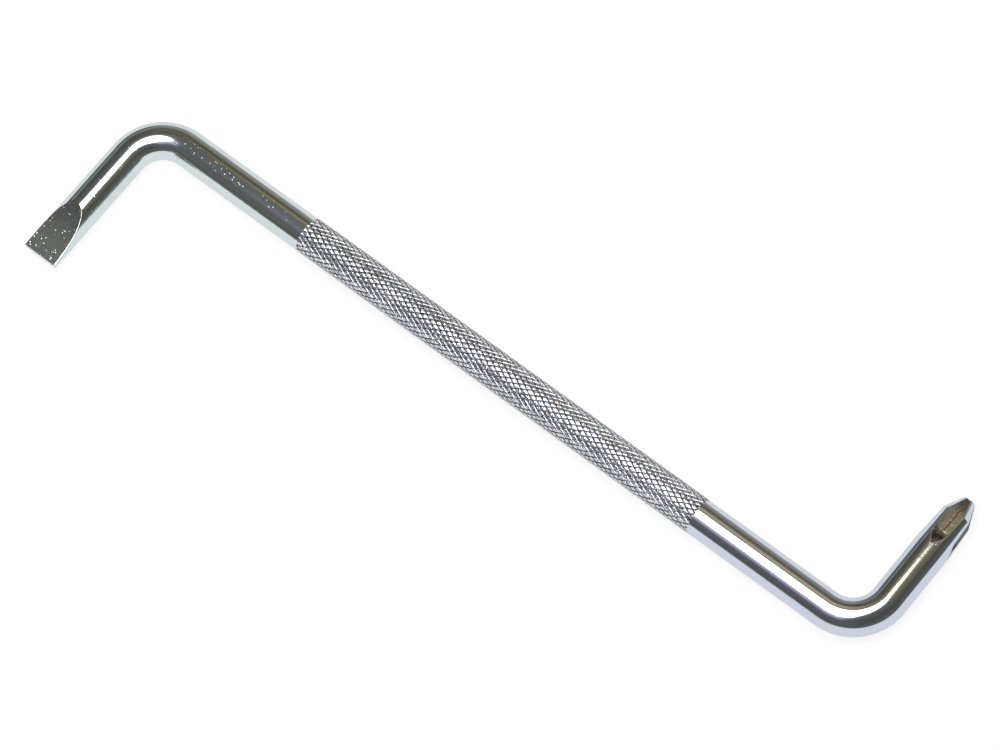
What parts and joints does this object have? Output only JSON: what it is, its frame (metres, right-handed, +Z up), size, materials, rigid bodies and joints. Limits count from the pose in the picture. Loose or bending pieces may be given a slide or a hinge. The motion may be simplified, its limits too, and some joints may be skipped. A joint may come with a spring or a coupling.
{
  "type": "offset screwdriver",
  "caption": "Z-bent offset screwdriver: a bright chromed round bar with a diamond-knurled grip, a slotted blade at one end and a cross point at the other.",
  "frame": {"origin": "on the surface that the tool lies on, below the middle of its outline", "axes": "+X along the shaft from the slotted end to the cross end, +Y the way the cross leg points, +Z up out of the plane of the bends"},
  "size_m": [0.1451, 0.0552, 0.0061],
  "materials": {
    "polished_bar": "bright chrome plate with fine pits",
    "knurled_bar": "bright chrome plate over a rolled diamond knurl",
    "ground_tip": "chrome plate over ground flats and milled flutes"
  },
  "bodies": {
    "root": {"slotted_blade": "ground_tip", "slotted_leg": "polished_bar", "slotted_bend": "polished_bar", "slotted_neck": "polished_bar", "knurled_grip": "knurled_bar", "cross_neck": "polished_bar", "cross_bend": "polished_bar", "cross_leg": "polished_bar", "cross_tip": "ground_tip"}
  },
  "joints": []
}
